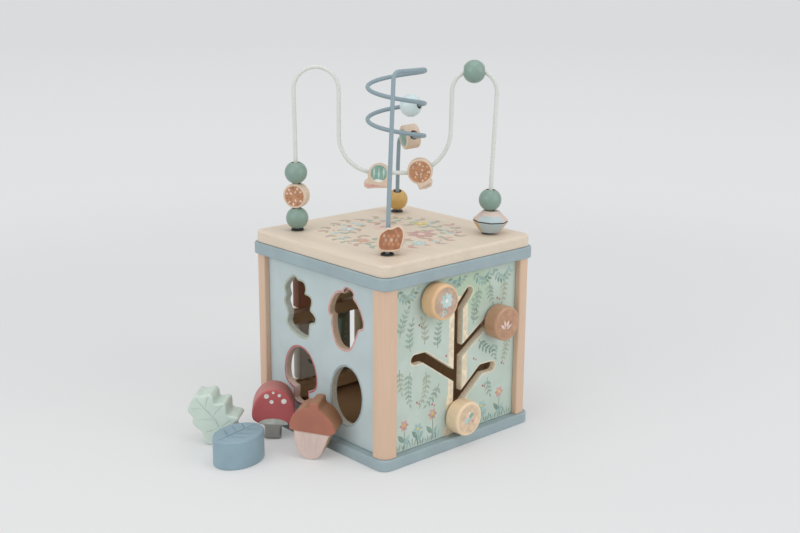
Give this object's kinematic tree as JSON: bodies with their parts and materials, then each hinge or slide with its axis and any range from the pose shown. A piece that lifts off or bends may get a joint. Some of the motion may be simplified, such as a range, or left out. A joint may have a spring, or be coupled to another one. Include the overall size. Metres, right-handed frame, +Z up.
{
  "type": "activity cube",
  "caption": "Wooden toddler activity cube: shape sorter, sliding-knob tree, turning tiles and meshed gears on its sides, with threaded beads on bent wires over a lift-off lid.",
  "frame": {"origin": "on the floor under the middle of the cube, on the underside of its base board", "axes": "+Z up; the shape sorter faces -Y, the sliding-knob tree +X, the gears +Y and the turning tiles -X"},
  "size_m": [0.188, 0.2826, 0.329],
  "materials": {
    "base_board": "matt paint",
    "upper_frame": "matt paint",
    "post_right": "plain sanded wood",
    "post_back": "plain sanded wood",
    "post_left": "plain sanded wood",
    "post_front": "plain sanded wood",
    "sorter_panel": "matt paint",
    "tree_panel": "matt paint",
    "tile_panel": "matt paint",
    "gear_panel": "matt paint",
    "tile_rail_lower": "matt paint",
    "tile_rail_middle": "matt paint",
    "tile_rail_upper": "matt paint",
    "tile_rod_left": "plain sanded wood",
    "tile_rod_middle": "plain sanded wood",
    "tile_rod_right": "plain sanded wood",
    "gear_top_pin": "matt paint",
    "gear_middle_pin": "matt paint",
    "gear_bottom_pin": "matt paint",
    "top_board": "clear matt coat over printed plywood",
    "white_wire": "smooth coloured coating over round steel wire",
    "blue_wire": "smooth coloured coating over round steel wire",
    "collar_left": "dull black",
    "collar_front": "dull black",
    "collar_right": "dull black",
    "collar_back": "dull black",
    "bead_left_lower": "smooth matt paint",
    "bead_left_disc": "matt paint",
    "bead_left_upper": "smooth matt paint",
    "bead_right_bicone": "smooth matt paint",
    "bead_right_upper": "smooth matt paint",
    "bead_front_cone": "matt paint",
    "bead_back_ball": "smooth matt paint",
    "bead_valley_left": "matt paint",
    "bead_arch_ball": "smooth matt paint",
    "bead_valley_right": "matt paint",
    "bead_helix_ball": "smooth matt paint",
    "bead_drum": "matt paint",
    "knob_left": "sanded wood with a small printed motif",
    "knob_peg_left": "plain sanded wood",
    "knob_retainer_left": "plain sanded wood",
    "knob_right": "sanded wood with a small printed motif",
    "knob_peg_right": "plain sanded wood",
    "knob_retainer_right": "plain sanded wood",
    "knob_bottom": "sanded wood with a small printed motif",
    "knob_peg_bottom": "plain sanded wood",
    "knob_retainer_bottom": "plain sanded wood",
    "tile_lower_left": "matt paint",
    "tile_lower_middle": "matt paint",
    "tile_lower_right": "matt paint",
    "tile_upper_left": "matt paint",
    "tile_upper_middle": "matt paint",
    "tile_upper_right": "matt paint",
    "gear_middle": "matt paint",
    "gear_top": "matt paint",
    "gear_bottom": "matt paint",
    "leaf_block": "matt paint on the faces, engraved or printed detail",
    "acorn_block": "matt paint on the faces, engraved or printed detail",
    "mushroom_block": "matt paint on the faces, engraved or printed detail",
    "ellipse_block": "matt paint on the faces, engraved or printed detail"
  },
  "bodies": {
    "cube": {"base_board": "base_board", "upper_frame": "upper_frame", "post_right": "post_right", "post_back": "post_back", "post_left": "post_left", "post_front": "post_front", "sorter_panel": "sorter_panel", "tree_panel": "tree_panel", "tile_panel": "tile_panel", "gear_panel": "gear_panel", "tile_rail_lower": "tile_rail_lower", "tile_rail_middle": "tile_rail_middle", "tile_rail_upper": "tile_rail_upper", "tile_rod_left": "tile_rod_left", "tile_rod_middle": "tile_rod_middle", "tile_rod_right": "tile_rod_right", "gear_top_pin": "gear_top_pin", "gear_middle_pin": "gear_middle_pin", "gear_bottom_pin": "gear_bottom_pin"},
    "lid": {"top_board": "top_board", "white_wire": "white_wire", "blue_wire": "blue_wire", "collar_left": "collar_left", "collar_front": "collar_front", "collar_right": "collar_right", "collar_back": "collar_back"},
    "bead_left_lower": {"bead_left_lower": "bead_left_lower"},
    "bead_left_disc": {"bead_left_disc": "bead_left_disc"},
    "bead_left_upper": {"bead_left_upper": "bead_left_upper"},
    "bead_right_bicone": {"bead_right_bicone": "bead_right_bicone"},
    "bead_right_upper": {"bead_right_upper": "bead_right_upper"},
    "bead_front_cone": {"bead_front_cone": "bead_front_cone"},
    "bead_back_ball": {"bead_back_ball": "bead_back_ball"},
    "bead_valley_left": {"bead_valley_left": "bead_valley_left"},
    "bead_arch_ball": {"bead_arch_ball": "bead_arch_ball"},
    "bead_valley_right": {"bead_valley_right": "bead_valley_right"},
    "bead_helix_ball": {"bead_helix_ball": "bead_helix_ball"},
    "bead_drum": {"bead_drum": "bead_drum"},
    "knob_left": {"knob_left": "knob_left", "knob_peg_left": "knob_peg_left", "knob_retainer_left": "knob_retainer_left"},
    "knob_right": {"knob_right": "knob_right", "knob_peg_right": "knob_peg_right", "knob_retainer_right": "knob_retainer_right"},
    "knob_bottom": {"knob_bottom": "knob_bottom", "knob_peg_bottom": "knob_peg_bottom", "knob_retainer_bottom": "knob_retainer_bottom"},
    "tile_lower_left": {"tile_lower_left": "tile_lower_left"},
    "tile_lower_middle": {"tile_lower_middle": "tile_lower_middle"},
    "tile_lower_right": {"tile_lower_right": "tile_lower_right"},
    "tile_upper_left": {"tile_upper_left": "tile_upper_left"},
    "tile_upper_middle": {"tile_upper_middle": "tile_upper_middle"},
    "tile_upper_right": {"tile_upper_right": "tile_upper_right"},
    "gear_middle": {"gear_middle": "gear_middle"},
    "gear_top": {"gear_top": "gear_top"},
    "gear_bottom": {"gear_bottom": "gear_bottom"},
    "leaf_block": {"leaf_block": "leaf_block"},
    "acorn_block": {"acorn_block": "acorn_block"},
    "mushroom_block": {"mushroom_block": "mushroom_block"},
    "ellipse_block": {"ellipse_block": "ellipse_block"}
  },
  "joints": [
    {"name": "lid_lift", "type": "slide", "parent": "cube", "child": "lid", "axis": [0, 0, 1], "range_m": [0, 0.12]},
    {"name": "bead_left_lower_slide", "type": "slide", "parent": "lid", "child": "bead_left_lower", "axis": [-0.0101, -0.0101, 0.9999], "range_m": [0, 0.02]},
    {"name": "bead_left_disc_slide", "type": "slide", "parent": "bead_left_lower", "child": "bead_left_disc", "axis": [-0.0101, -0.0101, 0.9999], "range_m": [0, 0.02]},
    {"name": "bead_left_upper_slide", "type": "slide", "parent": "bead_left_disc", "child": "bead_left_upper", "axis": [-0.0101, -0.0101, 0.9999], "range_m": [0, 0.022]},
    {"name": "bead_right_bicone_slide", "type": "slide", "parent": "lid", "child": "bead_right_bicone", "axis": [0.0266, 0.0266, 0.9993], "range_m": [0, 0.03]},
    {"name": "bead_right_upper_slide", "type": "slide", "parent": "bead_right_bicone", "child": "bead_right_upper", "axis": [0.0266, 0.0266, 0.9993], "range_m": [0, 0.04]},
    {"name": "bead_front_cone_slide", "type": "slide", "parent": "lid", "child": "bead_front_cone", "axis": [-0.1289, 0.1502, 0.9802], "range_m": [0, 0.02]},
    {"name": "bead_back_ball_slide", "type": "slide", "parent": "lid", "child": "bead_back_ball", "axis": [0.2306, -0.1921, 0.9539], "range_m": [0, 0.025]},
    {"name": "bead_valley_left_slide", "type": "slide", "parent": "lid", "child": "bead_valley_left", "axis": [0.7071, 0.7071, 0], "range_m": [0, 0.008]},
    {"name": "bead_arch_ball_swing", "type": "hinge", "parent": "lid", "child": "bead_arch_ball", "pos_m": [0.04939, 0.04939, 0.3017], "axis": [0.7071, -0.7071, 0], "range_deg": [-45, 45]},
    {"name": "bead_valley_right_swing", "type": "hinge", "parent": "lid", "child": "bead_valley_right", "pos_m": [0.00878, 0.00878, 0.268], "axis": [0.7071, -0.7071, 0], "range_deg": [-5, 45]},
    {"name": "bead_helix_ball_swing", "type": "hinge", "parent": "lid", "child": "bead_helix_ball", "pos_m": [0.00205, 0.00106, 0.28652], "axis": [-0.1714, -0.0459, 0.9841], "range_deg": [-30, 30]},
    {"name": "bead_drum_slide", "type": "slide", "parent": "lid", "child": "bead_drum", "axis": [-0.9099, 0.3784, -0.1698], "range_m": [-0.01, 0.01]},
    {"name": "knob_left_slide", "type": "slide", "parent": "cube", "child": "knob_left", "axis": [0, 0.9053, -0.4248], "range_m": [0, 0.033]},
    {"name": "knob_right_slide", "type": "slide", "parent": "cube", "child": "knob_right", "axis": [0, -0.9997, -0.0259], "range_m": [0, 0.0116]},
    {"name": "knob_bottom_slide", "type": "slide", "parent": "cube", "child": "knob_bottom", "axis": [0, 0, 1], "range_m": [0, 0.06]},
    {"name": "tile_lower_left_turn", "type": "hinge", "parent": "cube", "child": "tile_lower_left", "pos_m": [-0.074, 0.037, 0.056], "axis": [0, 0, 1], "continuous": true},
    {"name": "tile_lower_middle_turn", "type": "hinge", "parent": "cube", "child": "tile_lower_middle", "pos_m": [-0.074, 0, 0.056], "axis": [0, 0, 1], "continuous": true},
    {"name": "tile_lower_right_turn", "type": "hinge", "parent": "cube", "child": "tile_lower_right", "pos_m": [-0.074, -0.037, 0.056], "axis": [0, 0, 1], "continuous": true},
    {"name": "tile_upper_left_turn", "type": "hinge", "parent": "cube", "child": "tile_upper_left", "pos_m": [-0.074, 0.037, 0.121], "axis": [0, 0, 1], "continuous": true},
    {"name": "tile_upper_middle_turn", "type": "hinge", "parent": "cube", "child": "tile_upper_middle", "pos_m": [-0.074, 0, 0.121], "axis": [0, 0, 1], "continuous": true},
    {"name": "tile_upper_right_turn", "type": "hinge", "parent": "cube", "child": "tile_upper_right", "pos_m": [-0.074, -0.037, 0.121], "axis": [0, 0, 1], "continuous": true},
    {"name": "gear_middle_turn", "type": "hinge", "parent": "cube", "child": "gear_middle", "pos_m": [0, 0.0875, 0.083], "axis": [0, 1, 0], "continuous": true},
    {"name": "gear_top_turn", "type": "hinge", "parent": "cube", "child": "gear_top", "pos_m": [-0.04, 0.0875, 0.122], "axis": [0, 1, 0], "continuous": true},
    {"name": "gear_bottom_turn", "type": "hinge", "parent": "cube", "child": "gear_bottom", "pos_m": [0.04, 0.0875, 0.044], "axis": [0, 1, 0], "continuous": true},
    {"name": "leaf_block_lift", "type": "slide", "parent": "cube", "child": "leaf_block", "axis": [0, 0, 1], "range_m": [0, 0.08]},
    {"name": "acorn_block_lift", "type": "slide", "parent": "cube", "child": "acorn_block", "axis": [0, 0, 1], "range_m": [0, 0.08]},
    {"name": "mushroom_block_lift", "type": "slide", "parent": "cube", "child": "mushroom_block", "axis": [0, 0, 1], "range_m": [0, 0.08]},
    {"name": "ellipse_block_lift", "type": "slide", "parent": "cube", "child": "ellipse_block", "axis": [0, 0, 1], "range_m": [0, 0.08]}
  ],
  "couplings": [
    {"joint": "gear_top_turn", "follows": "gear_middle_turn", "ratio": -1.2857},
    {"joint": "gear_bottom_turn", "follows": "gear_middle_turn", "ratio": -1.2857}
  ]
}
